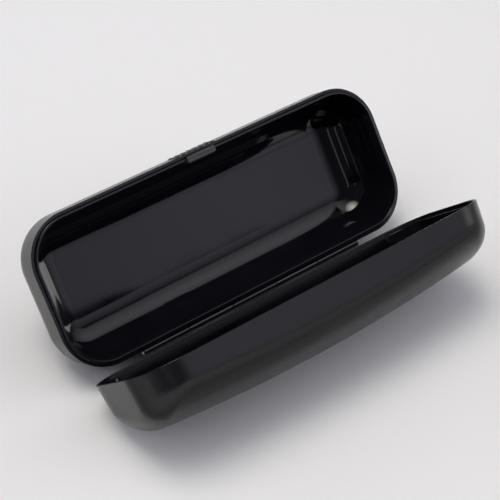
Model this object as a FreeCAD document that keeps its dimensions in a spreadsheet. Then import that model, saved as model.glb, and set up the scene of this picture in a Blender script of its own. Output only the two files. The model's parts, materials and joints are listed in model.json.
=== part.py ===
import FreeCAD, Part
import math
import os

from FreeCAD import Placement, Rotation, Vector
import Sketcher

# Hinged clamshell case for spectacles, in millimetres.
# It is modelled closed: X runs along the case, Y from the spine to the latch, and Z = 0 is the rim of the
# base. Each half is then turned about the hinge into the rest position: open as far as the stop allows, lying
# on its spine, with both halves touching the ground.

DIMENSIONS = {
    "case_length": 160.0,
    "case_width": 61.0,
    "corner_radius": 18.0,
    "base_depth": 27.0,
    "base_draft": 2.0,
    "base_fillet": 17.2,
    "lid_depth": 25.9,
    "lid_draft": 4.5,
    "lid_fillet": 9.0,
    "lid_arch_radius": 38.0,
    "lid_crown_radius": 740.0,
    "base_wall": 1.3,
    "lid_wall": 1.1,
    "liner_gap": 0.1,
    "base_liner_wall": 1.1,
    "lid_liner_wall": 1.5,
    "lip_height": 1.0,
    "lid_liner_setback": 1.5,
    "rim_gap": 0.1,
    "hinge_out": 0.8,
    "hinge_drop": 1.5,
    "barrel_radius": 1.4,
    "knuckle_length": 20.5,
    "knuckle_pitch": 20.8,
    "knuckle_web": 6.2,
    "knuckle_foot": 0.4,
    "knuckle_clearance": 0.3,
    "pin_radius": 0.6,
    "pin_clearance": 0.05,
    "pin_head_radius": 1.1,
    "pin_head_crown": 0.77,
    "pin_head_height": 0.7,
    "pin_head_gap": 0.05,
    "stop_heel_reach": 2.6,
    "stop_heel_face": 0.8,
    "stop_heel_back": 0.3,
    "stop_heel_overlap": 0.5,
    "opening_angle": 82.5,
    "latch_width": 12.5,
    "latch_height": 2.5,
    "latch_root_depth": 9.0,
    "latch_root_height": 2.5,
    "latch_root_out": 1.8,
    "latch_inner": 3.75,
    "latch_chamfer": 0.85,
    "latch_stem": 1.95,
    "latch_nose": 1.0,
    "latch_nose_bottom": 1.2,
    "latch_nose_height": 0.7,
    "latch_nose_lead": 0.5,
    "latch_side_gap": 0.35,
    "latch_rear_gap": 2.0,
    "latch_end_radius": 1.0,
    "catch_proud": 1.55,
    "catch_width": 11.0,
    "catch_bottom": 0.35,
    "catch_top": 0.95,
    "catch_recess_wall": 0.75,
    "catch_recess_top": 2.9,
    "catch_rear_gap": 1.0,
    "catch_slot_top": 6.0,
    "rib_count": 7,
    "rib_pitch": 2.7,
    "rib_radius": 0.85,
    "rib_proud": 0.55,
    "rib_top": 0.7,
    "rib_length": 9.0,
}
CUT_MARGIN = 1.0  # how far a cutting solid reaches past what it cuts
FUSE_DEPTH = 0.3  # how far a fused solid reaches into what it joins
ARCH_MARGIN = 3.0  # how far the profile that cuts the lid's arch reaches past the walls
CEILING_MARGIN = 6.0  # how far it reaches above the crown, which falls away towards the lid's ends
CROWN_SWEEP = 30.0  # degrees, wider than the lid's ends seen from the crown's centre
SHORTEST_CORNER = 5.0  # upright corner edges are longer than this
TOUCHING = 0.01
LINEAR_DEFLECTION = 0.02
TILT_LIMITS = (40.0, 65.0)  # degrees between which the base's rest tilt is looked for
TILT_ACCURACY = 1e-5

doc = FreeCAD.newDocument("spectacle_case")
sheet = doc.addObject("Spreadsheet::Sheet", "Sizes")
for row, (alias, value) in enumerate(DIMENSIONS.items(), start=1):
    sheet.set(f"A{row}", alias)
    sheet.set(f"B{row}", str(value))
    sheet.setAlias(f"B{row}", alias)
doc.recompute()


def cell(alias):
    return getattr(sheet, alias)


def sized(formula):
    """Expression text in which every driving dimension points at its cell."""
    for alias in sorted(DIMENSIONS, key=len, reverse=True):
        formula = formula.replace(f"[{alias}]", f"Sizes.{alias}")
    return formula


def bind(target, **formulas):
    for prop, formula in formulas.items():
        target.setExpression(prop.replace("__", "."), sized(formula))


def plane(body, role):
    return next(item for item in body.Origin.OriginFeatures if item.Role == role)


def new_sketch(body, name, role, shift=None):
    sketch = body.newObject("Sketcher::SketchObject", name)
    sketch.AttachmentSupport = [(plane(body, role), "")]
    sketch.MapMode = "FlatFace"
    for axis, formula in (shift or {}).items():
        sketch.setExpression(f"AttachmentOffset.Base.{axis}", sized(formula))
    return sketch


def dimension(sketch, kind, *where, name, formula, start):
    """Adds a driving constraint with a starting value and binds it to the sheet."""
    index = sketch.addConstraint(Sketcher.Constraint(kind, *where, start))
    sketch.renameConstraint(index, name)
    sketch.setExpression(f"Constraints.{name}", sized(formula))


def chain(sketch, points):
    """Closed polygon through the points, as the sketch's first edges."""
    count = len(points)
    for i in range(count):
        ends = Vector(*points[i], 0), Vector(*points[(i + 1) % count], 0)
        sketch.addGeometry(Part.LineSegment(*ends), False)
    for i in range(count):
        sketch.addConstraint(Sketcher.Constraint("Coincident", i, 2, (i + 1) % count, 1))


def centred_rectangle(sketch, long_formula, short_formula):
    long_half, short_half = cell("case_length") / 2, cell("case_width") / 2
    corners = [
        (-long_half, -short_half),
        (long_half, -short_half),
        (long_half, short_half),
        (-long_half, short_half),
    ]
    chain(sketch, corners)
    for edge, direction in enumerate(("Horizontal", "Vertical", "Horizontal", "Vertical")):
        sketch.addConstraint(Sketcher.Constraint(direction, edge))
    sketch.addConstraint(Sketcher.Constraint("Symmetric", 0, 1, 2, 1, -1, 1))
    dimension(sketch, "DistanceX", 0, 1, 0, 2, name="long_side", formula=long_formula, start=2 * long_half)
    dimension(sketch, "DistanceY", 1, 1, 1, 2, name="short_side", formula=short_formula, start=2 * short_half)


def edge_names(shape, wanted):
    return [f"Edge{i}" for i, edge in enumerate(shape.Edges, start=1) if wanted(edge)]


def add_fillet(body, base, names, formula):
    fillet = body.newObject("PartDesign::Fillet", "Fillet")
    fillet.Base = (base, names)
    fillet.setExpression("Radius", sized(formula))
    body.Tip = fillet
    doc.recompute()
    return fillet


def is_upright(edge):
    low, high = sorted(vertex.Z for vertex in edge.Vertexes)
    return high - low > SHORTEST_CORNER


def add_block(body, inset, start, depth, draft, reverse):
    """Tapered block with rounded upright corners: the rim's outline, drawn in towards the far side."""
    outline = new_sketch(body, "Outline", "XY_Plane", {"z": start})
    rise = f"2 * ({start}) * tan([{draft}] * 1 deg)"
    spread = f"+ {rise}" if reverse else f"- {rise}"
    sides = (f"[{side}] - 2 * ({inset}) {spread}" for side in ("case_length", "case_width"))
    centred_rectangle(outline, *sides)
    pad = body.newObject("PartDesign::Pad", "Block")
    pad.Profile = outline
    pad.Reversed = reverse
    bind(pad, Length=depth, TaperAngle=f"-[{draft}]")
    body.Tip = pad
    doc.recompute()
    return add_fillet(body, pad, edge_names(pad.Shape, is_upright), f"[corner_radius] - ({inset})")


def base_core(name, inset, top="0"):
    """Outer form of the base, drawn in by inset, from the height top down to the flat bottom."""
    body = doc.addObject("PartDesign::Body", name)
    block = add_block(body, inset, top, f"[base_depth] - ({inset}) + ({top})", "base_draft", True)
    floor = min(vertex.Z for vertex in block.Shape.Vertexes)

    def is_on_floor(edge):
        return max(vertex.Z for vertex in edge.Vertexes) < floor + TOUCHING

    add_fillet(body, block, edge_names(block.Shape, is_on_floor), f"[base_fillet] - ({inset})")
    return body


def lid_core(name, inset, start):
    """Outer form of the lid, drawn in by inset, from the height start up to the crowned arch."""
    body = doc.addObject("PartDesign::Body", name)
    height = f"[lid_depth] + [rim_gap] - ({start}) + {CUT_MARGIN}"
    block = add_block(body, inset, start, height, "lid_draft", False)
    arch = new_sketch(body, "Arch", "YZ_Plane", {"y": "[lid_depth] + [rim_gap] - [lid_crown_radius]"})
    crown, radius = cell("lid_crown_radius"), cell("lid_arch_radius")
    half = cell("case_width") / 2 + ARCH_MARGIN
    centre = crown - radius
    lean = math.asin(half / radius)
    side = centre + radius * math.cos(lean)
    ceiling = crown + CEILING_MARGIN
    arch.addGeometry(
        Part.ArcOfCircle(
            Part.Circle(Vector(0, centre, 0), Vector(0, 0, 1), radius), math.pi / 2 - lean, math.pi / 2 + lean
        ),
        False,
    )
    corners = [Vector(-half, side), Vector(-half, ceiling), Vector(half, ceiling), Vector(half, side)]
    for start_corner, end_corner in zip(corners, corners[1:]):
        arch.addGeometry(Part.LineSegment(start_corner, end_corner), False)
    for here, there in (((0, 2), (1, 1)), ((1, 2), (2, 1)), ((2, 2), (3, 1)), ((3, 2), (0, 1))):
        arch.addConstraint(Sketcher.Constraint("Coincident", *here, *there))
    for edge, direction in ((1, "Vertical"), (2, "Horizontal"), (3, "Vertical")):
        arch.addConstraint(Sketcher.Constraint(direction, edge))
    arch.addConstraint(Sketcher.Constraint("PointOnObject", 0, 3, -2))
    arch.addConstraint(Sketcher.Constraint("Symmetric", 0, 1, 0, 2, -2))
    centre_height = "[lid_crown_radius] - [lid_arch_radius]"
    span = f"[case_width] + 2 * {ARCH_MARGIN}"
    ceiling_height = f"[lid_crown_radius] + {CEILING_MARGIN}"
    dimension(arch, "Radius", 0, name="arch", formula=f"[lid_arch_radius] - ({inset})", start=radius)
    dimension(arch, "DistanceY", -1, 1, 0, 3, name="centre", formula=centre_height, start=centre)
    dimension(arch, "DistanceX", 1, 1, 3, 1, name="span", formula=span, start=2 * half)
    dimension(arch, "DistanceY", -1, 1, 2, 1, name="ceiling", formula=ceiling_height, start=ceiling)
    groove = body.newObject("PartDesign::Groove", "Crown")
    groove.Profile = arch
    groove.ReferenceAxis = (arch, ["H_Axis"])
    groove.Midplane = True
    groove.Angle = CROWN_SWEEP
    body.Tip = groove
    doc.recompute()
    if groove.Shape.Volume > block.Shape.Volume - CUT_MARGIN:
        raise RuntimeError(f"the crown of {name} cut nothing")
    top_face = max(groove.Shape.Faces, key=lambda face: face.CenterOfMass.z)
    loop = edge_names(groove.Shape, lambda edge: any(edge.isSame(other) for other in top_face.Edges))
    add_fillet(body, groove, loop, f"[lid_fillet] - ({inset})")
    return body


def cut(name, base, tool):
    result = doc.addObject("Part::Cut", name)
    result.Base, result.Tool = base, tool
    return result


def fuse(name, shapes):
    result = doc.addObject("Part::MultiFuse", name)
    result.Shapes = shapes
    return result


def box(name, x_size, y_low, y_high, z_low, z_high):
    """Box centred on X = 0 between two formulas in Y and two in Z."""
    item = doc.addObject("Part::Box", name)
    bind(
        item,
        Length=x_size,
        Width=f"({y_high}) - ({y_low})",
        Height=f"({z_high}) - ({z_low})",
        Placement__Base__x=f"-({x_size}) / 2",
        Placement__Base__y=y_low,
        Placement__Base__z=z_low,
    )
    return item


HINGE_Y = "-[case_width] / 2 - [hinge_out]"
HINGE_Z = "-[hinge_drop]"
FRONT = "[case_width] / 2"


def x_cylinder(name, radius, x_start, length):
    """Cylinder on the hinge axis."""
    item = doc.addObject("Part::Cylinder", name)
    item.Placement.Rotation = Rotation(Vector(0, 1, 0), 90)
    bind(
        item,
        Radius=radius,
        Height=length,
        Placement__Base__x=x_start,
        Placement__Base__y=HINGE_Y,
        Placement__Base__z=HINGE_Z,
    )
    return item


def knuckles(name, count, web_side):
    """Row of hinge knuckles, each a barrel with a web that runs into the wall above (1) or below (-1) it."""
    body = doc.addObject("PartDesign::Body", name)
    first_x = f"-([knuckle_pitch] * {count - 1}) - [knuckle_length] / 2"
    profile = new_sketch(body, "Profile", "YZ_Plane", {"x": HINGE_Y, "y": HINGE_Z, "z": first_x})
    radius, web = cell("barrel_radius"), cell("knuckle_web")
    foot = Vector(radius + cell("knuckle_foot"), web_side * web, 0)
    reach = math.acos(radius / foot.Length)
    tangent = math.atan2(foot.y, foot.x) + web_side * reach
    sweep = (tangent, 2 * math.pi) if web_side > 0 else (0.0, tangent + 2 * math.pi)
    profile.addGeometry(Part.ArcOfCircle(Part.Circle(Vector(), Vector(0, 0, 1), radius), *sweep), False)
    touch = Vector(radius * math.cos(tangent), radius * math.sin(tangent), 0)
    profile.addGeometry(Part.LineSegment(touch, foot), False)
    profile.addGeometry(Part.LineSegment(foot, Vector(radius, 0, 0)), False)
    touch_end, wall_end = (1, 2) if web_side > 0 else (2, 1)
    profile.addConstraint(Sketcher.Constraint("Coincident", 0, 3, -1, 1))
    profile.addConstraint(Sketcher.Constraint("Tangent", 0, touch_end, 1, 1))
    profile.addConstraint(Sketcher.Constraint("Coincident", 1, 2, 2, 1))
    profile.addConstraint(Sketcher.Constraint("Coincident", 2, 2, 0, wall_end))
    profile.addConstraint(Sketcher.Constraint("PointOnObject", 2, 2, -1))
    dimension(profile, "Radius", 0, name="barrel", formula="[barrel_radius]", start=radius)
    foot_in = "[barrel_radius] + [knuckle_foot]"
    dimension(profile, "DistanceX", -1, 1, 1, 2, name="foot_in", formula=foot_in, start=foot.x)
    low, high = ((-1, 1), (1, 2)) if web_side > 0 else ((1, 2), (-1, 1))
    dimension(profile, "DistanceY", *low, *high, name="web", formula="[knuckle_web]", start=web)
    pad = body.newObject("PartDesign::Pad", "Knuckle")
    pad.Profile = profile
    bind(pad, Length="[knuckle_length]")
    body.Tip = pad
    doc.recompute()
    row_of = body.newObject("PartDesign::LinearPattern", "Row")
    row_of.Originals = [pad]
    row_of.Direction = (plane(body, "X_Axis"), [""])
    row_of.Occurrences = count
    bind(row_of, Length=f"[knuckle_pitch] * {2 * (count - 1)}")
    body.Tip = row_of
    doc.recompute()
    return body


def pin_bore(name):
    """Cylinder for the pin's hole, half a pitch longer at each end than the row of five knuckles."""
    return x_cylinder(name, "[pin_radius] + [pin_clearance]", "-[knuckle_pitch] * 3", "[knuckle_pitch] * 6")


def build_base_shell():
    hollow = cut("BaseWall", base_core("BaseOuter", "0"), base_core("BaseInner", "[base_wall]"))
    ribs = []
    for i in range(int(cell("rib_count"))):
        rib = doc.addObject("Part::Cylinder", "GripRib")
        rib.Placement.Rotation = Rotation(Vector(1, 0, 0), 180 - cell("base_draft"))
        bind(
            rib,
            Radius="[rib_radius]",
            Height="[rib_length]",
            Placement__Base__x=f"({i} - ([rib_count] - 1) / 2) * [rib_pitch]",
            Placement__Base__y=f"{FRONT} - [rib_radius] + [rib_proud]",
            Placement__Base__z="-[rib_top]",
        )
        ribs.append(rib)
    notches = []
    for side in (-1, 1):
        middle = f"{side} * [knuckle_pitch]"
        length = "[knuckle_length] + 2 * [knuckle_clearance]"
        start = f"{middle} - ({length}) / 2"
        notches.append(x_cylinder("BarrelNotch", "[barrel_radius] + [knuckle_clearance]", start, length))
        outside = f"{HINGE_Y} - 2 * [barrel_radius]"
        inside = f"{HINGE_Y} + [barrel_radius] + [knuckle_clearance]"
        slot = box("ArmNotch", length, outside, inside, HINGE_Z, f"{CUT_MARGIN}")
        slot.setExpression("Placement.Base.x", sized(start))
        notches.append(slot)
    notched = cut("NotchedWall", hollow, fuse("BaseNotches", notches))
    room = base_core("BaseRoom", f"[base_wall] - {FUSE_DEPTH}", "2 * [barrel_radius]")
    barrels = cut("BaseBarrels", knuckles("BaseKnuckles", 3, -1), room)
    whole = fuse("BaseMoulding", [notched, barrels] + ribs)
    return cut("base_shell", whole, pin_bore("BaseBore"))


def build_base_liner():
    offset = "[base_wall] + [liner_gap]"
    outer = base_core("BaseLinerOuter", offset, "[lip_height]")
    inner = base_core("BaseLinerInner", f"{offset} + [base_liner_wall]", f"[lip_height] + {CUT_MARGIN}")
    tray = cut("BaseTray", outer, inner)
    slot = box(
        "LatchSlot",
        "[latch_width] + 2 * [latch_side_gap]",
        f"{FRONT} - [latch_inner] - [latch_rear_gap]",
        FRONT,
        "-[latch_root_depth] - [latch_side_gap]",
        f"[lip_height] + {CUT_MARGIN}",
    )
    return cut("base_liner", tray, slot)


def build_lid_shell():
    hollow = cut("LidWall", lid_core("LidOuter", "0", "[rim_gap]"), lid_core("LidInner", "[lid_wall]", "0"))
    heels = []
    for side in (-1, 1):
        heel = doc.addObject("Part::Box", "StopHeel")
        bind(
            heel,
            Length="[knuckle_length]",
            Width="[stop_heel_face] + [stop_heel_back]",
            Height="[stop_heel_reach] - [barrel_radius] + [stop_heel_overlap]",
        )
        heel.setExpression("Placement.Base.x", sized(f"{side} * [knuckle_pitch] - [knuckle_length] / 2"))
        open_place = Placement(Vector(0, -cell("stop_heel_back"), -cell("stop_heel_reach")), Rotation())
        closing = Placement(Vector(), Rotation(Vector(1, 0, 0), -cell("opening_angle")))
        axis = Vector(0, -cell("case_width") / 2 - cell("hinge_out"), -cell("hinge_drop"))
        closed = Placement(axis, Rotation()) * closing * open_place
        heel.Placement = Placement(closed.Base + Vector(heel.Placement.Base.x, 0, 0), closed.Rotation)
        heels.append(heel)
    recess = box(
        "CatchRecess",
        "[latch_width] + 2 * [latch_side_gap]",
        f"{FRONT} - [catch_proud] - {CUT_MARGIN}",
        f"{FRONT} - [catch_recess_wall]",
        "[catch_top]",
        "[catch_recess_top]",
    )
    recessed = cut("RecessedWall", hollow, recess)
    room = lid_core("LidRoom", f"[lid_wall] - {FUSE_DEPTH}", f"-{CUT_MARGIN}")
    arms = cut("LidBarrels", knuckles("LidKnuckles", 2, 1), room)
    catch = box(
        "LatchCatch",
        "[catch_width]",
        f"{FRONT} - [catch_proud]",
        f"{FRONT} - [lid_wall] / 2",
        "[catch_bottom]",
        "[catch_top]",
    )
    whole = fuse("LidMoulding", [recessed, arms, catch] + heels)
    return cut("lid_shell", whole, pin_bore("LidBore"))


def build_lid_liner():
    offset = "[lid_wall] + [liner_gap]"
    start = "[rim_gap] + [lid_liner_setback]"
    outer = lid_core("LidLinerOuter", offset, start)
    inner = lid_core("LidLinerInner", f"{offset} + [lid_liner_wall]", "[rim_gap]")
    tray = cut("LidTray", outer, inner)
    slot = box(
        "CatchSlot",
        "[latch_width] + 2 * [latch_side_gap]",
        f"{FRONT} - [latch_inner] - [catch_rear_gap]",
        FRONT,
        "0",
        "[catch_slot_top]",
    )
    return cut("lid_liner", tray, slot)


def build_hinge_pin():
    half = "([knuckle_pitch] * 4 + [knuckle_length]) / 2"
    shank = x_cylinder("PinShank", "[pin_radius]", f"-{half}", f"2 * {half}")
    head = doc.addObject("Part::Cone", "PinHead")
    head.Placement.Rotation = Rotation(Vector(0, 1, 0), -90)
    bind(
        head,
        Radius1="[pin_head_radius]",
        Radius2="[pin_head_crown]",
        Height="[pin_head_height]",
        Placement__Base__x=f"-{half} - [pin_head_gap]",
        Placement__Base__y=HINGE_Y,
        Placement__Base__z=HINGE_Z,
    )
    neck = x_cylinder("PinNeck", "[pin_radius]", f"-{half} - 2 * [pin_head_gap]", "4 * [pin_head_gap]")
    return fuse("hinge_pin", [shank, neck, head])


def build_latch_tongue():
    body = doc.addObject("PartDesign::Body", "latch_tongue")
    profile = new_sketch(body, "Profile", "YZ_Plane", {"x": FRONT})
    inner, stem, nose = cell("latch_inner"), cell("latch_stem"), cell("latch_nose")
    root, under, top = cell("latch_root_depth"), cell("latch_nose_bottom"), cell("latch_height")
    tip, lead = cell("latch_nose_height"), cell("latch_nose_lead")
    foot, rise = cell("latch_root_out"), cell("latch_root_height")
    slant = cell("latch_chamfer")
    shoulder = "[latch_height] - [latch_chamfer]"
    waist = "-[latch_root_depth] + 2 * [latch_root_height]"
    points = {
        "root_in": (("[latch_inner]", "-[latch_root_depth]"), (-inner, -root)),
        "root_out": (("[latch_root_out]", "-[latch_root_depth]"), (-foot, -root)),
        "root_top": (("[latch_root_out]", "-[latch_root_depth] + [latch_root_height]"), (-foot, rise - root)),
        "waist": (("[latch_stem]", waist), (-stem, 2 * rise - root)),
        "stem_high": (("[latch_stem]", "[latch_nose_bottom]"), (-stem, under)),
        "nose_low": (("[latch_nose]", "[latch_nose_bottom]"), (-nose, under)),
        "nose_high": (("[latch_nose]", "[latch_nose_bottom] + [latch_nose_height]"), (-nose, under + tip)),
        "top_out": (("[latch_nose] + [latch_nose_lead]", "[latch_height]"), (-nose - lead, top)),
        "top_in": (("[latch_inner] - [latch_chamfer]", "[latch_height]"), (slant - inner, top)),
        "shoulder": (("[latch_inner]", shoulder), (-inner, top - slant)),
    }
    chain(profile, [start for formulas, start in points.values()])
    for edge, (name, (formulas, start)) in enumerate(points.items()):
        across, up = formulas
        dimension(profile, "DistanceX", edge, 1, -1, 1, name=f"{name}_y", formula=across, start=-start[0])
        below = up.startswith("-")
        ends = (edge, 1, -1, 1) if below else (-1, 1, edge, 1)
        height = f"0 - ({up})" if below else up
        dimension(profile, "DistanceY", *ends, name=f"{name}_z", formula=height, start=abs(start[1]))
    pad = body.newObject("PartDesign::Pad", "Tongue")
    pad.Profile = profile
    pad.Midplane = True
    bind(pad, Length="[latch_width]")
    body.Tip = pad
    doc.recompute()
    inner_y = cell("case_width") / 2 - inner

    def is_inner_end(edge):
        return all(abs(v.Y - inner_y) < TOUCHING for v in edge.Vertexes) and is_upright(edge)

    add_fillet(body, pad, edge_names(pad.Shape, is_inner_end), "[latch_end_radius]")
    return body


SUBPARTS = {
    "base_shell": (build_base_shell, "base"),
    "base_liner": (build_base_liner, "base"),
    "lid_shell": (build_lid_shell, "lid"),
    "lid_liner": (build_lid_liner, "lid"),
    "hinge_pin": (build_hinge_pin, "base"),
    "latch_tongue": (build_latch_tongue, "base"),
}
pieces = {name: build() for name, (build, half) in SUBPARTS.items()}
doc.recompute()
for name, piece in pieces.items():
    piece.Label = name


def points_of(names):
    """Points on the surfaces of the named sub-parts, as closed."""
    found = []
    for name in names:
        found += pieces[name].Shape.tessellate(LINEAR_DEFLECTION)[0]
    return found


def turned(points, degrees):
    """The points turned about the hinge axis, measured from it."""
    angle = math.radians(degrees)
    axis_y = -cell("case_width") / 2 - cell("hinge_out")
    axis_z = -cell("hinge_drop")
    cosine, sine = math.cos(angle), math.sin(angle)
    moved = []
    for point in points:
        across, up = point.y - axis_y, point.z - axis_z
        moved.append(Vector(point.x, across * cosine - up * sine, across * sine + up * cosine))
    return moved


base_points = points_of([name for name, (_, half) in SUBPARTS.items() if half == "base"])
lid_points = points_of([name for name, (_, half) in SUBPARTS.items() if half == "lid"])


def height_difference(tilt):
    """How much lower the base reaches than the lid when the base's rim is tilted by tilt."""
    lid_tilt = tilt + cell("opening_angle")
    return min(p.z for p in turned(lid_points, lid_tilt)) - min(p.z for p in turned(base_points, tilt))


low_tilt, high_tilt = TILT_LIMITS
while high_tilt - low_tilt > TILT_ACCURACY:
    middle_tilt = (low_tilt + high_tilt) / 2
    if height_difference(middle_tilt) > 0:
        low_tilt = middle_tilt
    else:
        high_tilt = middle_tilt
rest_tilt = (low_tilt + high_tilt) / 2

standing = turned(base_points, rest_tilt) + turned(lid_points, rest_tilt + cell("opening_angle"))
lift = -min(p.z for p in standing)
shift_y = -(min(p.y for p in standing) + max(p.y for p in standing)) / 2
shift_x = -(min(p.x for p in standing) + max(p.x for p in standing)) / 2
axis_here = Vector(0, -cell("case_width") / 2 - cell("hinge_out"), -cell("hinge_drop"))
hinge_there = Vector(shift_x, shift_y, lift)


def rest_placement(tilt):
    """Turns a half about the hinge axis by tilt and sets the axis at its rest position."""
    turn = Placement(hinge_there, Rotation(Vector(1, 0, 0), tilt))
    return turn * Placement(-axis_here, Rotation())


placements = {"base": rest_placement(rest_tilt), "lid": rest_placement(rest_tilt + cell("opening_angle"))}
for name, (_, half) in SUBPARTS.items():
    pieces[name].Placement = placements[half]
doc.recompute()

for item in doc.Objects:
    if "Invalid" in item.State or "Error" in item.State:
        raise RuntimeError(f"{item.Name} ({item.Label}) failed: {item.State}")
os.makedirs("parts", exist_ok=True)
for name, piece in pieces.items():
    shape = piece.Shape
    if shape.isNull() or not shape.isValid():
        raise RuntimeError(f"{name} is not a valid shape")
    shape.exportStep(f"parts/{name}.step")
    print(f"{name}: {len(shape.Solids)} solid(s), {shape.Volume:.1f} mm3")
print(f"rest tilt {rest_tilt:.3f} deg, hinge axis at {tuple(round(c, 4) for c in hinge_there)}")
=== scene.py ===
import json
import math
from dataclasses import dataclass, replace

import bmesh
import bpy
import numpy as np
from mathutils import Matrix, Vector


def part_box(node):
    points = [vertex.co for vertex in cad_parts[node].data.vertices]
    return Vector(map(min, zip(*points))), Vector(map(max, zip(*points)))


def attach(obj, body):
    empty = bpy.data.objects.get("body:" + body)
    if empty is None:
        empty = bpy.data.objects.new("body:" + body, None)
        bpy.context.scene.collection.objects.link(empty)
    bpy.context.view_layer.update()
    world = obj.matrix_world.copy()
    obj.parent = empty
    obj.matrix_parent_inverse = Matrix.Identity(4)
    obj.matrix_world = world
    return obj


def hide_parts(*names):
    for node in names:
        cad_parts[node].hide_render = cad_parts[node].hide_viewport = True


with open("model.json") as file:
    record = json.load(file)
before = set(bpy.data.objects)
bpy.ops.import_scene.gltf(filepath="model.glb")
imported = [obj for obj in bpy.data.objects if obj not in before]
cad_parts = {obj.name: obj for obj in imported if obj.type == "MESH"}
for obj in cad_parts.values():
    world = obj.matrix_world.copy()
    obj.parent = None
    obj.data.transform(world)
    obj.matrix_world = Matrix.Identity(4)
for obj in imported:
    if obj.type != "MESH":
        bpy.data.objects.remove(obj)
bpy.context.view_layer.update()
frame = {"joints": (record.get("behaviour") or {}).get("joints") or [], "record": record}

# A hinged hard case for spectacles, standing open. Every piece is shaped in the closed case's own frame, in
# millimetres: X along the case, Y from the hinge's side to the latch's side, Z = 0 the rim of the base. It is
# then turned about the hinge into its place in the frame, in metres.

MM = 0.001

# The two mouldings
HALF_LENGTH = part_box("base_shell")[1].x / MM
HALF_WIDTH = 30.5
CORNER = 18.0
BASE_WALL = 1.3
LID_WALL = 1.1
LINER_GAP = 0.1
BASE_LINER_WALL = 1.1
LID_LINER_WALL = 1.5
LIP_HEIGHT = 1.0
LID_LINER_SETBACK = 1.5
RIM_GAP = 0.1
RIM_EDGE = 0.3
LINER_EDGE = 0.35

# The dish of the base liner's floor, which blends in along the case from DISH_START
DISH_RADIUS = 550.0
DISH_START = -48.0
DISH_BLEND = 18.0

# The hinge
HINGE_Y = -HALF_WIDTH - 0.8
HINGE_Z = -1.5
BARREL_RADIUS = 1.4
RUBBED_MARGIN = 0.3
RUBBED_FADE = 0.1
KNUCKLE_LENGTH = 20.5
KNUCKLE_PITCH = 20.8
BASE_KNUCKLES = (-2 * KNUCKLE_PITCH, 0.0, 2 * KNUCKLE_PITCH)
LID_KNUCKLES = (-KNUCKLE_PITCH, KNUCKLE_PITCH)
KNUCKLE_WEB = 6.2
KNUCKLE_FOOT = 0.4
KNUCKLE_BEVEL = 0.18
KNUCKLE_CLEARANCE = 0.3
NOTCH_TOP = 1.0
LID_WEB_ANGLE = math.radians(60)
BEAD_RADIUS = 0.28
BEAD_OFFSET = 1.42
BEAD_GAP = 0.02
BASE_BEAD_ANGLE = math.radians(150)
PIN_RADIUS = 0.6
PIN_BORE = 0.65
PIN_BORE_END = 60.0
PIN_HEAD_RADIUS = 1.1
PIN_HEAD_HEIGHT = 0.7
PIN_HEAD_GAP = 0.05
PIN_TIP_CHAMFER = 0.15
HEEL_REACH = 2.6
HEEL_FACE = 0.8
HEEL_BACK = 0.3
HEEL_OVERLAP = 0.5

# The latch
LATCH_BEVEL = 0.15
TONGUE_WIDTH = 12.5
TONGUE_INNER = 3.75
TONGUE_CHAMFER = 0.85
TONGUE_CORNER = 1.0
TONGUE_STEM = 1.95
TONGUE_STEM_FOOT = 4.0
TONGUE_NOSE = 1.0
TONGUE_NOSE_BOTTOM = 1.2
TONGUE_NOSE_TOP = 1.9
TONGUE_LEAD_IN = 0.5
TONGUE_TOP = 2.5
TONGUE_ROOT = 9.0
TONGUE_ROOT_OUT = 1.8
TONGUE_ROOT_TOP = 6.5
SLOT_WIDTH = 13.2
SLOT_FOOT_GAP = 0.35
BASE_SLOT_ROOM = 2.0
LID_SLOT_ROOM = 1.0
LID_SLOT_TOP = 6.0
CATCH_WIDTH = 11.0
CATCH_PROUD = 1.55
CATCH_BOTTOM = 0.35
CATCH_TOP = 0.95
RECESS_WALL = 0.75
RECESS_TOP = 2.9
RIB_COUNT = 7
RIB_PITCH = 2.7
RIB_RADIUS = 0.85
RIB_PROUD = 0.55
RIB_TOP = 0.7
RIB_LENGTH = 9.0

# How finely the shapes are divided
CORNER_STEPS = 28
LONG_STEPS = 48
SHORT_STEPS = 12
WALL_STEPS = 8
FILLET_STEPS = 24
TOP_STEPS = 16
EDGE_STEPS = 4
ROUND_END_POINTS = 7
KNUCKLE_POINTS = 41
NOTCH_POINTS = 25
CREASE_SHARE = 0.03      # how close an extra ring lies to the edge of a surface, as a share of its size
FILLET_ROUNDS = 12       # rounds of the search for the fillet's centre line
MERGE = 1e-3             # points closer than this are one
CUT_MARGIN = 1.0         # how far a cutter reaches past the face that it cuts


# Placing

def joint(name):
    """The frame's joint of that name."""
    return next(j for j in frame["joints"] if j["name"] == name)


base_bottom = next(m for m in frame["record"]["mounts"] if m["name"] == "base_bottom")
base_turn = math.atan2(base_bottom["axis"][1], -base_bottom["axis"][2])
lid_turn = base_turn + math.radians(joint("lid_hinge")["range_deg"][1])
hinge_axis = Matrix.Translation((0, HINGE_Y, HINGE_Z))


def placing(turn):
    """Matrix from the closed case's frame, in millimetres, to a half turned about the hinge, in metres."""
    hinge_place = Matrix.Translation(Vector(joint("lid_hinge")["pos_m"]))
    return hinge_place @ Matrix.Rotation(turn, 4, "X") @ Matrix.Scale(MM, 4) @ hinge_axis.inverted()


def about_hinge(radius, angle):
    """Y and Z of a point at a distance from the hinge's axis."""
    return HINGE_Y + radius * math.cos(angle), HINGE_Z + radius * math.sin(angle)


# Mouldings as rings of points

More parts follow.
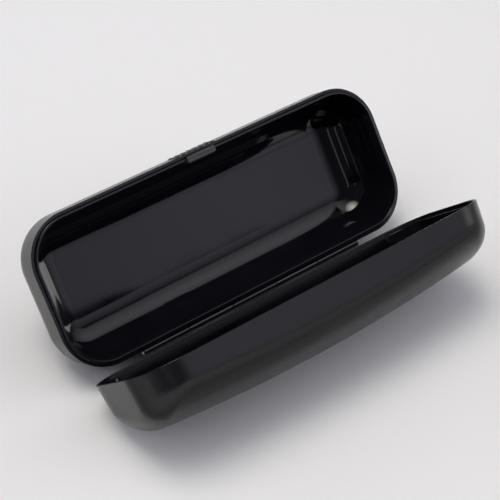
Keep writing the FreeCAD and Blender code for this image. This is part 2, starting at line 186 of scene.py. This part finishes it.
def outline():
    """A rounded rectangle's points: their places on its core, from -1 to 1, and their outward normals."""
    core, normal = [], []
    corners = [(1, 1, 0), (-1, 1, 90), (-1, -1, 180), (1, -1, 270)]
    sides = [LONG_STEPS, SHORT_STEPS, LONG_STEPS, SHORT_STEPS]
    for i, (x, y, start) in enumerate(corners):
        for angle in np.radians(np.linspace(start, start + 90, CORNER_STEPS + 1)):
            core.append((x, y))
            normal.append((math.cos(angle), math.sin(angle)))
        next_x, next_y = corners[(i + 1) % 4][:2]
        for share in np.linspace(0, 1, sides[i] + 1)[1:-1]:
            core.append((x + share * (next_x - x), y + share * (next_y - y)))
            normal.append(normal[-1])
    return np.array(core), np.array(normal)


CORE, NORMAL = outline()
CORE_HALF = np.array([HALF_LENGTH, HALF_WIDTH]) - CORNER


@dataclass
class Half:
    """One half of the case. Heights grow from the rim towards the closed end.

    The walls lean by the draft, in radians, and meet the closed end in the fillet's radius. The closed end is
    flat, or has the radius arch across the case and crown along it. The dish is the radius across the case of
    a flat end's inner face.
    """

    up: int
    draft: float
    depth: float
    fillet: float
    arch: float = 0.0
    crown: float = 0.0
    dish: float = 0.0

    def ring(self, inset, height):
        """The wall's outline at a height, drawn in by inset."""
        height = np.broadcast_to(height, len(CORE))
        shrink = height * math.tan(self.draft)
        xy = CORE * (CORE_HALF - shrink[:, None]) + (CORNER - inset) * NORMAL
        return np.column_stack([xy, height])

    def top(self, inset, x, y):
        """Height of the closed end, where an arch is turned about a far axis along Y to give the crown."""
        if not self.crown:
            return np.full(len(x), self.depth - inset)
        reach = self.crown - self.arch + np.sqrt((self.arch - inset) ** 2 - y**2)
        return self.depth - self.crown + np.sqrt(reach**2 - x**2)

    def top_normal(self, points):
        """Outward normals of the closed end's surface."""
        if not self.crown:
            return np.tile((0.0, 0.0, 1.0), (len(points), 1))
        x, y, height = points.T
        height = height - (self.depth - self.crown)
        reach = np.hypot(x, height)
        lean = (reach - (self.crown - self.arch)) / reach
        normal = np.column_stack([x * lean, y, height * lean])
        return normal / np.linalg.norm(normal, axis=1)[:, None]

    def skin(self, inset, start):
        """Rings from the wall's start over the rolled edge to the middle of the closed end."""
        radius = self.fillet - inset
        # Outward normals of the walls, which lean more round the corners, where both directions shrink
        slope = np.arctan(math.tan(self.draft) * np.abs(NORMAL).sum(axis=1))
        wall_normal = np.column_stack([NORMAL * np.cos(slope)[:, None], np.sin(slope)])
        # The fillet's centre line is where the wall and the closed end, both drawn in by the radius, meet.
        height = np.full(len(CORE), self.depth - self.fillet)
        for _ in range(FILLET_ROUNDS):
            centre = self.ring(inset, height) - radius * wall_normal
            height = self.top(inset + radius, centre[:, 0], centre[:, 1]) + radius * np.sin(slope)
        centre = self.ring(inset, height) - radius * wall_normal
        top_normal = self.top_normal(centre)
        foot = (centre + radius * wall_normal)[:, 2]
        rings = [self.ring(inset, start + share * (foot - start)) for share in wall_shares()]
        turn = np.arccos((wall_normal * top_normal).sum(axis=1))[:, None]
        for share in np.linspace(0, 1, FILLET_STEPS + 1):
            mix = np.sin((1 - share) * turn) * wall_normal + np.sin(share * turn) * top_normal
            rings.append(centre + radius * mix / np.sin(turn))
        # The closed end's rings shrink from the fillet's edge to a line along the middle.
        rim = rings[-1][:, :2]
        middle = np.ptp(rim[:, 0]) / 2 - np.ptp(rim[:, 1]) / 2
        spine = np.column_stack([rim[:, 0].clip(-middle, middle), np.zeros(len(rim))])
        for share in [1 - CREASE_SHARE] + list(np.linspace(1, 0, TOP_STEPS + 1)[1:]):
            xy = spine + share * (rim - spine)
            rings.append(np.column_stack([xy, self.top(inset, *xy.T)]))
        return rings

    def dished(self, ring):
        """The ring with a flat closed end bent slightly towards the rim beside the long walls."""
        if not self.dish:
            return ring
        along = ((ring[:, 0] - DISH_START) / DISH_BLEND).clip(0, 1)
        share = along**2 * (3 - 2 * along) * (ring[:, 2] / self.depth) ** 2
        return ring - np.outer(share * ring[:, 1] ** 2 / (2 * self.dish), (0, 0, 1))

    def shell(self, outer, inner, start, edge):
        """Closed rings of a shell between two insets, with its rim at start and the rim's edges rounded."""
        rim = []
        for angle in np.radians(np.linspace(0, 90, EDGE_STEPS + 1)[1:]):
            rim.append((edge * (1 - math.cos(angle)), start + edge * (1 - math.sin(angle))))
        outside = [self.ring(outer + inset, height) for inset, height in rim]
        inside = [self.ring(inner - inset, height) for inset, height in rim[::-1]]
        outer_skin = self.skin(outer, start + edge)
        inner_skin = [self.dished(ring) for ring in self.skin(inner, start + edge)]
        return outer_skin[::-1] + outside + inside + inner_skin


def wall_shares():
    """Shares of the wall's height, close together at its ends so that the curves beside it stay crisp."""
    even = list(np.linspace(0, 1, WALL_STEPS + 1)[1:-1])
    return [0.0, CREASE_SHARE] + even + [1 - CREASE_SHARE]


BASE = Half(up=-1, draft=math.radians(2.0), depth=27.0, fillet=17.2)
BASE_TRAY = replace(BASE, dish=DISH_RADIUS)
LID = Half(up=1, draft=math.radians(4.5), depth=25.9 + RIM_GAP, fillet=9.0, arch=38.0, crown=740.0)


# Meshes

def new_piece(name, mesh_builder):
    """New object whose mesh is what the builder leaves in a bmesh, cleaned and with outward normals."""
    bm = bmesh.new()
    mesh_builder(bm)
    bmesh.ops.remove_doubles(bm, verts=bm.verts, dist=MERGE)
    bmesh.ops.recalc_face_normals(bm, faces=bm.faces)
    mesh = bpy.data.meshes.new(name)
    bm.to_mesh(mesh)
    bm.free()
    piece = bpy.data.objects.new(name, mesh)
    bpy.context.scene.collection.objects.link(piece)
    return piece


def loft(bm, rings, closed_ends=False):
    """Quads between rings with the same number of points."""
    loops = [[bm.verts.new(point) for point in ring] for ring in rings]
    count = len(loops[0])
    for here, there in zip(loops, loops[1:]):
        for i in range(count):
            j = (i + 1) % count
            bm.faces.new((here[i], here[j], there[j], there[i]))
    if closed_ends:
        bm.faces.new(loops[0])
        bm.faces.new(loops[-1])


def moulding(name, half, *shape):
    """Half of the case as a piece, from the insets, start and edge that Half.shell takes."""
    rings = [ring * (1, 1, half.up) for ring in half.shell(*shape)]
    return new_piece(name, lambda bm: loft(bm, rings))


def prism(name, profile, x_low, x_high):
    """Straight bar along X with a profile in Y and Z."""
    rings = [[(x, y, z) for y, z in profile] for x in (x_low, x_high)]
    return new_piece(name, lambda bm: loft(bm, rings, closed_ends=True))


def block(name, x_half, y_low, y_high, z_low, z_high):
    profile = [(y_low, z_low), (y_high, z_low), (y_high, z_high), (y_low, z_high)]
    return prism(name, profile, -x_half, x_half)


def lathe(name, profile, segments):
    """Turned solid about the X axis through its origin, from (x, radius) pairs."""
    angles = np.linspace(0, 2 * math.pi, segments, endpoint=False)
    rings = [[(x, r * math.cos(a), r * math.sin(a)) for a in angles] for x, r in profile]
    return new_piece(name, lambda bm: loft(bm, rings))


def applied(piece):
    """Applies the piece's modifiers."""
    mesh = bpy.data.meshes.new_from_object(piece.evaluated_get(bpy.context.evaluated_depsgraph_get()))
    piece.modifiers.clear()
    piece.data = mesh
    return piece


def bevel(piece, width, segments):
    """Rounds the piece's sharp edges."""
    modifier = piece.modifiers.new("edges", "BEVEL")
    modifier.width = width
    modifier.segments = segments
    modifier.limit_method = "ANGLE"
    modifier.angle_limit = math.radians(40)
    return applied(piece)


def combine(piece, tools, operation):
    """Adds or cuts with tools, one after another, and deletes them."""
    for tool in tools:
        modifier = piece.modifiers.new("combine", "BOOLEAN")
        modifier.operation = operation
        modifier.solver = "EXACT"
        modifier.object = tool
        applied(piece)
        bpy.data.objects.remove(tool)
    return piece


def settle(piece, turn, body, node, material, flat_faces=True):
    """Places and smooths a piece, gives it its material and sets it on its body in its CAD node's stead.

    With flat_faces the normals are weighted, so that flat faces look flat beside their rounded edges.
    """
    piece.data.transform(placing(turn))
    piece.data.shade_smooth()
    piece.data.set_sharp_from_angle(angle=math.radians(35))
    if flat_faces:
        modifier = piece.modifiers.new("normals", "WEIGHTED_NORMAL")
        modifier.keep_sharp = True
        applied(piece)
    piece.data.materials.clear()
    piece.data.materials.append(material)
    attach(piece, body)
    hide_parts(node)


# The hinge

def knuckle(centre_x, web_side):
    """Barrel with a web that runs down (-1) or up (1) into the wall."""
    foot = Vector((BARREL_RADIUS + KNUCKLE_FOOT, web_side * KNUCKLE_WEB))
    tangent = math.atan2(foot.y, foot.x) + web_side * math.acos(BARREL_RADIUS / foot.length)
    if web_side > 0:
        start, end = tangent, 2 * math.pi + LID_WEB_ANGLE
    else:
        start, end = tangent + 2 * math.pi, 0.0
    profile = [(HINGE_Y + foot.x, HINGE_Z + foot.y)]
    profile += [about_hinge(BARREL_RADIUS, angle) for angle in np.linspace(start, end, KNUCKLE_POINTS)]
    half = KNUCKLE_LENGTH / 2
    piece = prism("knuckle", profile, centre_x - half, centre_x + half)
    return bevel(piece, KNUCKLE_BEVEL, segments=2)


def bead(centre_x, angle):
    """Fine raised line along a knuckle, in line with its neighbours' when the case is open."""
    half = (KNUCKLE_PITCH - BEAD_GAP) / 2
    profile = [(-half, 0), (-half, BEAD_RADIUS), (half, BEAD_RADIUS), (half, 0)]
    piece = lathe("bead", profile, segments=16)
    piece.data.transform(Matrix.Translation((centre_x, *about_hinge(BEAD_OFFSET, angle))))
    return piece


def pin_bore():
    """Cutter for the pin's hole through the knuckles."""
    end = PIN_BORE_END
    bore = lathe("bore", [(-end, 0), (-end, PIN_BORE), (end, PIN_BORE), (end, 0)], segments=32)
    bore.data.transform(hinge_axis)
    return bore


def heel(centre_x):
    """Stop on a lid knuckle that meets the base's back wall when the case is open."""
    profile = [
        (-HEEL_BACK, -HEEL_REACH),
        (HEEL_FACE, -HEEL_REACH),
        (HEEL_FACE, HEEL_OVERLAP - BARREL_RADIUS),
        (-HEEL_BACK, HEEL_OVERLAP - BARREL_RADIUS),
    ]
    half = KNUCKLE_LENGTH / 2
    piece = bevel(prism("heel", profile, centre_x - half, centre_x + half), KNUCKLE_BEVEL, segments=2)
    piece.data.transform(hinge_axis @ Matrix.Rotation(base_turn - lid_turn, 4, "X"))
    return piece


def build_hinge_pin():
    """Pin with a domed head beyond the first knuckle and a chamfered tip."""
    half = 2 * KNUCKLE_PITCH + KNUCKLE_LENGTH / 2
    seat = -half - PIN_HEAD_GAP
    dome = np.radians(np.linspace(90, 20, ROUND_END_POINTS))
    head = [(seat - PIN_HEAD_HEIGHT * math.sin(a), PIN_HEAD_RADIUS * math.cos(a)) for a in dome]
    neck = [(seat, PIN_HEAD_RADIUS), (seat, PIN_RADIUS)]
    tip = [(half - PIN_TIP_CHAMFER, PIN_RADIUS), (half, PIN_RADIUS - PIN_TIP_CHAMFER), (half, 0)]
    pin = lathe("HingePin", head + neck + tip, segments=32)
    pin.data.transform(hinge_axis)
    return pin


# The latch

def rib(centre_x):
    """Upright grip rib with round ends, partly sunk in the front wall and leaning with it."""
    round_end = np.radians(np.linspace(90, 0, ROUND_END_POINTS))
    ends = [(RIB_RADIUS * (1 - math.sin(a)), RIB_RADIUS * math.cos(a)) for a in round_end]
    profile = ends + [(RIB_LENGTH - x, r) for x, r in ends[::-1]]
    piece = lathe("rib", profile, segments=24)
    top = Matrix.Translation((centre_x, HALF_WIDTH - RIB_RADIUS + RIB_PROUD, -RIB_TOP))
    lean = Matrix.Rotation(BASE.draft, 4, "X").inverted() @ Matrix.Rotation(math.radians(90), 4, "Y")
    piece.data.transform(top @ lean)
    return piece


def build_latch_tongue():
    """Springy tab with its root in the wall, an outward nose and rounded inner corners."""
    inner = HALF_WIDTH - TONGUE_INNER
    root = HALF_WIDTH - TONGUE_ROOT_OUT
    stem = HALF_WIDTH - TONGUE_STEM
    nose = HALF_WIDTH - TONGUE_NOSE
    profile = [
        (inner, -TONGUE_ROOT),
        (root, -TONGUE_ROOT),
        (root, -TONGUE_ROOT_TOP),
        (stem, -TONGUE_STEM_FOOT),
        (stem, TONGUE_NOSE_BOTTOM),
        (nose, TONGUE_NOSE_BOTTOM),
        (nose, TONGUE_NOSE_TOP),
        (nose - TONGUE_LEAD_IN, TONGUE_TOP),
        (inner + TONGUE_CHAMFER, TONGUE_TOP),
        (inner, TONGUE_TOP - TONGUE_CHAMFER),
    ]
    tongue = prism("LatchTongue", profile, -TONGUE_WIDTH / 2, TONGUE_WIDTH / 2)
    bm = bmesh.new()
    bm.from_mesh(tongue.data)
    inner_edges = [e for e in bm.edges if all(abs(v.co.y - inner) < MERGE for v in e.verts)]
    upright = [e for e in inner_edges if abs(e.verts[0].co.x - e.verts[1].co.x) < MERGE]
    bmesh.ops.bevel(bm, geom=upright, offset=TONGUE_CORNER, segments=6, profile=0.5, affect="EDGES")
    bm.to_mesh(tongue.data)
    bm.free()
    return bevel(tongue, LATCH_BEVEL, segments=3)


def tongue_slot(room, z_low, z_high):
    """Cutter that opens a liner's front wall for the tongue and some room behind it."""
    inner = HALF_WIDTH - TONGUE_INNER - room
    return block("slot", SLOT_WIDTH / 2, inner, HALF_WIDTH, z_low, z_high)


# The four mouldings

def build_base_shell():
    shell = moulding("BaseShell", BASE, 0, BASE_WALL, 0, RIM_EDGE)
    half = KNUCKLE_LENGTH / 2 + KNUCKLE_CLEARANCE
    room = BARREL_RADIUS + KNUCKLE_CLEARANCE
    arc = [about_hinge(room, angle) for angle in np.linspace(-math.pi, 0, NOTCH_POINTS)]
    profile = arc + [(HINGE_Y + room, NOTCH_TOP), (HINGE_Y - room, NOTCH_TOP)]
    notches = [prism("notch", profile, middle - half, middle + half) for middle in LID_KNUCKLES]
    combine(shell, notches, "DIFFERENCE")
    barrels = [knuckle(middle, -1) for middle in BASE_KNUCKLES]
    beads = [bead(middle, BASE_BEAD_ANGLE) for middle in BASE_KNUCKLES]
    ribs = [rib((i - (RIB_COUNT - 1) / 2) * RIB_PITCH) for i in range(RIB_COUNT)]
    combine(shell, barrels + beads + ribs, "UNION")
    return combine(shell, [pin_bore()], "DIFFERENCE")


def build_base_liner():
    inset = BASE_WALL + LINER_GAP
    liner = moulding("BaseLiner", BASE_TRAY, inset, inset + BASE_LINER_WALL, -LIP_HEIGHT, LINER_EDGE)
    slot = tongue_slot(BASE_SLOT_ROOM, -TONGUE_ROOT - SLOT_FOOT_GAP, LIP_HEIGHT + CUT_MARGIN)
    return combine(liner, [slot], "DIFFERENCE")


def build_lid_shell():
    shell = moulding("LidShell", LID, 0, LID_WALL, RIM_GAP, RIM_EDGE)
    arms = [knuckle(middle, 1) for middle in LID_KNUCKLES]
    heels = [heel(middle) for middle in LID_KNUCKLES]
    bead_angle = BASE_BEAD_ANGLE + base_turn - lid_turn
    beads = [bead(middle, bead_angle) for middle in LID_KNUCKLES]
    catch_face = HALF_WIDTH - CATCH_PROUD
    catch_root = HALF_WIDTH - LID_WALL / 2
    recess_floor = HALF_WIDTH - RECESS_WALL
    recess = block("recess", SLOT_WIDTH / 2, catch_face - CUT_MARGIN, recess_floor, CATCH_TOP, RECESS_TOP)
    combine(shell, [recess], "DIFFERENCE")
    catch_profile = [
        (catch_root, CATCH_BOTTOM),
        (catch_face, CATCH_BOTTOM),
        (catch_face, CATCH_TOP),
        (catch_root, CATCH_TOP),
    ]
    catch = bevel(prism("catch", catch_profile, -CATCH_WIDTH / 2, CATCH_WIDTH / 2), LATCH_BEVEL, segments=2)
    combine(shell, arms + heels + beads + [catch], "UNION")
    return combine(shell, [pin_bore()], "DIFFERENCE")


def build_lid_liner():
    inset = LID_WALL + LINER_GAP
    start = RIM_GAP + LID_LINER_SETBACK
    liner = moulding("LidLiner", LID, inset, inset + LID_LINER_WALL, start, LINER_EDGE)
    slot = tongue_slot(LID_SLOT_ROOM, 0, LID_SLOT_TOP)
    return combine(liner, [slot], "DIFFERENCE")


# Materials

class Nodes:
    """A material's node tree with short ways to add to it."""

    def __init__(self, name):
        self.material = bpy.data.materials.new(name)
        self.material.use_nodes = True
        self.tree = self.material.node_tree
        self.shader = self.tree.nodes["Principled BSDF"]
        self.place = self.tree.nodes.new("ShaderNodeTexCoord").outputs["Object"]

    def add(self, kind, **inputs):
        """Node of a kind, with each input set to a value or linked to a socket."""
        node = self.tree.nodes.new(kind)
        for name, value in inputs.items():
            self.put(node.inputs[name.replace("_", " ")], value)
        return node

    def put(self, socket, value):
        """Links the socket to another one, or sets its value."""
        if isinstance(value, bpy.types.NodeSocket):
            self.tree.links.new(value, socket)
        else:
            socket.default_value = value

    def noise(self, scale, detail=2.0, roughness=0.5):
        sizes = {"Scale": scale, "Detail": detail, "Roughness": roughness}
        return self.add("ShaderNodeTexNoise", Vector=self.place, **sizes).outputs["Fac"]

    def span(self, value, low, high, start=0.0, end=1.0):
        """Value mapped from start..end to low..high, held at the ends."""
        node = self.tree.nodes.new("ShaderNodeMapRange")
        for index, item in enumerate((value, start, end, low, high)):
            self.put(node.inputs[index], item)
        return node.outputs[0]

    def mix(self, share, first, second):
        """Colour between the first and the second, by a share."""
        node = self.tree.nodes.new("ShaderNodeMix")
        node.data_type = "RGBA"
        self.put(node.inputs[0], share)
        self.put(node.inputs[6], first)
        self.put(node.inputs[7], second)
        return node.outputs[2]

    def multiply(self, first, second):
        node = self.tree.nodes.new("ShaderNodeMath")
        node.operation = "MULTIPLY"
        self.put(node.inputs[0], first)
        self.put(node.inputs[1], second)
        return node.outputs[0]

    def edge_wear(self):
        """1 on sharp outward edges, 0 elsewhere."""
        pointiness = self.tree.nodes.new("ShaderNodeNewGeometry").outputs["Pointiness"]
        return self.span(pointiness, 0, 1, 0.54, 0.62)

    def on_barrels(self):
        """1 close to the hinge's axis, where the barrels rub and shine, and 0 elsewhere."""
        across = self.tree.nodes.new("ShaderNodeVectorMath")
        across.operation = "MULTIPLY"
        self.put(across.inputs[0], self.place)
        self.put(across.inputs[1], (0, 1, 1))
        away = self.tree.nodes.new("ShaderNodeVectorMath")
        away.operation = "DISTANCE"
        self.put(away.inputs[0], across.outputs["Vector"])
        self.put(away.inputs[1], (0, *joint("lid_hinge")["pos_m"][1:]))
        edge = BARREL_RADIUS + RUBBED_MARGIN
        return self.span(away.outputs["Value"], 1, 0, edge * MM, (edge + RUBBED_FADE) * MM)

    def bump(self, height, distance):
        return self.add("ShaderNodeBump", Height=height, Distance=distance).outputs["Normal"]

    def finish(self, **inputs):
        """Sets the shader's inputs and gives the material."""
        for name, value in inputs.items():
            self.put(self.shader.inputs[name.replace("_", " ")], value)
        return self.material


def textured_plastic():
    """Black plastic moulded against a fine spark-eroded steel, scuffed along its edges.

    Its specular level is lowest at middle viewing angles, and 1 on the hinge's barrels.
    """
    nodes = Nodes("TexturedPlastic")
    grain = nodes.noise(3600.0, 3.0, 0.6)
    cloud = nodes.noise(45.0, 3.0)
    dark, light = (0.0032, 0.0034, 0.0042, 1), (0.0050, 0.0052, 0.0062, 1)
    body = nodes.mix(nodes.span(cloud, 0, 1, 0.3, 0.7), dark, light)
    scuffs = nodes.span(nodes.noise(700.0, 4.0, 0.7), 0, 1, 0.5, 0.75)
    worn = nodes.multiply(nodes.edge_wear(), scuffs)
    colour = nodes.mix(nodes.multiply(worn, 0.6), body, (0.10, 0.10, 0.105, 1))
    rubbed = nodes.on_barrels()
    roughness = nodes.span(rubbed, nodes.span(cloud, 0.25, 0.31, 0.3, 0.7), 0.12)
    grazing = nodes.add("ShaderNodeLayerWeight", Blend=0.5).outputs["Facing"]
    sheen = nodes.span(grazing, 0.58, 0.12, 0.10, 0.42)
    turned_away = nodes.span(grazing, 0, 1, 0.55, 0.76)
    specular = nodes.span(rubbed, nodes.span(turned_away, sheen, 0.5), 1.0)
    normal = nodes.bump(grain, 0.00001)
    return nodes.finish(Base_Color=colour, Roughness=roughness, Specular_IOR_Level=specular, Normal=normal)


def polished_plastic(name, specular, tint):
    """Blue-black plastic moulded against a polished core, with a faint haze and fine dust."""

    def shade(level):
        return (*(level * tint * share for share in (0.82, 0.78, 1.25)), 1)

    nodes = Nodes(name)
    smudge = nodes.noise(60.0, 4.0, 0.6)
    dust = nodes.span(nodes.noise(2600.0, 2.0, 0.8), 0, 1, 0.7, 0.78)
    body = nodes.mix(nodes.span(smudge, 0, 1, 0.35, 0.65), shade(0.85), shade(1.15))
    colour = nodes.mix(nodes.multiply(dust, 0.25), body, (0.08, 0.08, 0.09, 1))
    roughness = nodes.span(smudge, 0.06, 0.13, 0.35, 0.7)
    normal = nodes.bump(nodes.noise(26.0, 1.0), 0.00003)
    return nodes.finish(Base_Color=colour, Roughness=roughness, Specular_IOR_Level=specular, Normal=normal)


def tongue_plastic():
    """Greyer black plastic with a fine grain and worn edges."""
    nodes = Nodes("TonguePlastic")
    grain = nodes.noise(3000.0, 2.0)
    cloud = nodes.span(nodes.noise(400.0), 0, 1, 0.3, 0.7)
    body = nodes.mix(cloud, (0.03, 0.03, 0.032, 1), (0.042, 0.042, 0.045, 1))
    colour = nodes.mix(nodes.multiply(nodes.edge_wear(), 0.5), body, (0.2, 0.2, 0.2, 1))
    roughness = nodes.span(grain, 0.38, 0.5, 0.3, 0.7)
    normal = nodes.bump(grain, 0.00002)
    return nodes.finish(Base_Color=colour, Roughness=roughness, Normal=normal)


def pin_steel():
    """Bright steel with fine scratches."""
    nodes = Nodes("PinSteel")
    scratches = nodes.noise(2500.0, 2.0)
    colour = nodes.mix(nodes.span(scratches, 0, 1, 0.3, 0.7), (0.5, 0.5, 0.52, 1), (0.64, 0.64, 0.66, 1))
    roughness = nodes.span(scratches, 0.25, 0.4)
    normal = nodes.bump(scratches, 0.000005)
    return nodes.finish(Base_Color=colour, Metallic=1.0, Roughness=roughness, Normal=normal)


# Stage

LOOK_AT = Vector((-0.00042, 0.00267, 0.03099))
CAMERA_AZIMUTH = math.radians(-37.08)
CAMERA_ELEVATION = math.radians(43.27)
CAMERA_DISTANCE = 0.5951
CAMERA_ROLL = math.radians(0.757)
CAMERA_LENS = 112.0
CAMERA_SENSOR = 36.0
FLOOR_SIZE = 8.0
KEY_LEAN = math.radians(5)


def make_camera():
    """Camera beyond the lid and to its left, looking down into the base."""
    data = bpy.data.cameras.new("Camera")
    data.sensor_width = CAMERA_SENSOR
    data.lens = CAMERA_LENS
    data.clip_start = 0.01
    data.clip_end = 50.0
    camera = bpy.data.objects.new("Camera", data)
    bpy.context.scene.collection.objects.link(camera)
    level = math.cos(CAMERA_ELEVATION)
    right, forward = math.sin(CAMERA_AZIMUTH) * level, math.cos(CAMERA_AZIMUTH) * level
    back = Vector((right, -forward, math.sin(CAMERA_ELEVATION)))
    turn = (-back).to_track_quat("-Z", "Y").to_matrix().to_4x4() @ Matrix.Rotation(CAMERA_ROLL, 4, "Z")
    camera.matrix_world = Matrix.Translation(LOOK_AT + back * CAMERA_DISTANCE) @ turn
    bpy.context.scene.camera = camera


def softbox(name, towards, distance, size, radiance, colour, reach=90, in_reflections=True):
    """Area light that faces the case from a direction, with a given brightness of the middle of its face.

    With a reach below 90 degrees the face fades out towards that angle from its normal, so its reflections
    have soft edges.
    """
    width, height = size
    reach = math.radians(reach)
    data = bpy.data.lights.new(name, "AREA")
    data.shape = "RECTANGLE"
    data.size = width
    data.size_y = height
    data.spread = 2 * reach
    data.energy = radiance * math.pi * width * height
    if reach < math.pi / 2:
        data.energy *= 1 - reach / math.tan(reach)
    data.color = colour
    light = bpy.data.objects.new(name, data)
    light.visible_glossy = in_reflections
    bpy.context.scene.collection.objects.link(light)
    towards = Vector(towards).normalized()
    turn = (-towards).to_track_quat("-Z", "Y").to_matrix().to_4x4()
    light.matrix_world = Matrix.Translation(LOOK_AT + distance * towards) @ turn
    return light


def make_floor():
    """Large sheet of pale paper."""
    half = FLOOR_SIZE / 2
    corners = [(-half, -half, 0), (half, -half, 0), (half, half, 0), (-half, half, 0)]
    floor = new_piece("Floor", lambda bm: bm.faces.new([bm.verts.new(c) for c in corners]))
    nodes = Nodes("FloorPaper")
    colour = nodes.mix(nodes.noise(900.0, 2.0), (0.79, 0.79, 0.79, 1), (0.81, 0.81, 0.81, 1))
    floor.data.materials.append(nodes.finish(Base_Color=colour, Roughness=0.7))


def make_studio():
    """Dim surroundings, lights that show as shades and streaks in the plastic, and fills for the floor."""
    world = bpy.data.worlds.new("Studio")
    world.use_nodes = True
    background = world.node_tree.nodes["Background"]
    background.inputs["Color"].default_value = (0.07, 0.07, 0.09, 1)
    background.inputs["Strength"].default_value = 1.0
    bpy.context.scene.world = world
    warm, cream, cool, blue = (1.0, 0.95, 0.87), (1.0, 0.97, 0.94), (0.93, 0.94, 1.0), (0.84, 0.84, 1.0)
    key = softbox("KeyLight", (-0.08, 0.12, 0.99), 1.2, (1.2, 1.2), 9.5, warm, 22)
    key.matrix_world = key.matrix_world @ Matrix.Rotation(KEY_LEAN, 4, "X")    # moves where its edges fade
    softbox("TopLight", (0.42, -0.05, 0.90), 2.2, (2.0, 3.4), 1.1, cool, 42)
    softbox("FrontLight", (0.45, -0.78, 0.44), 2.0, (2.0, 1.8), 0.76, blue, 30)
    softbox("LowLight", (0.47, -0.87, 0.13), 2.0, (1.7, 0.46), 0.4, blue, 40)
    softbox("SideLight", (0.88, -0.42, 0.20), 2.0, (0.9, 0.70), 2.7, cream)
    softbox("NearStrip", (-0.54, -0.73, 0.42), 2.0, (0.12, 0.60), 0.9, cool)
    softbox("FarStrip", (-0.84, -0.49, 0.24), 2.0, (0.10, 0.50), 0.8, cool)
    softbox("RightFill", (0.85, -0.45, 0.30), 3.0, (3.0, 2.4), 1.7, cool, in_reflections=False)
    softbox("LeftFill", (-0.85, 0.15, 0.45), 3.0, (3.0, 3.0), 1.1, cool, in_reflections=False)
    softbox("BackFill", (-0.35, 0.8, 0.50), 1.0, (1.0, 1.0), 0.75, cool, in_reflections=False)


bpy.context.scene.view_settings.view_transform = "Standard"
make_camera()
make_studio()
make_floor()

textured = textured_plastic()
polished = polished_plastic("PolishedPlastic", 0.52, 0.0055)
# Painted shade: the lid's liner is the same polished plastic as the base's liner, given a darker colour (and
# a lower specular level) so that the lid's inside looks darker.
lid_polished_painted_shade = polished_plastic("LidPolishedPlasticPaintedShade", 0.3, 0.0030)
settle(build_base_shell(), base_turn, "base", "base_shell", textured)
settle(build_base_liner(), base_turn, "base", "base_liner", polished, flat_faces=False)
settle(build_lid_shell(), lid_turn, "lid", "lid_shell", textured)
settle(build_lid_liner(), lid_turn, "lid", "lid_liner", lid_polished_painted_shade, flat_faces=False)
settle(build_hinge_pin(), base_turn, "base", "hinge_pin", pin_steel())
settle(build_latch_tongue(), base_turn, "latch", "latch_tongue", tongue_plastic())
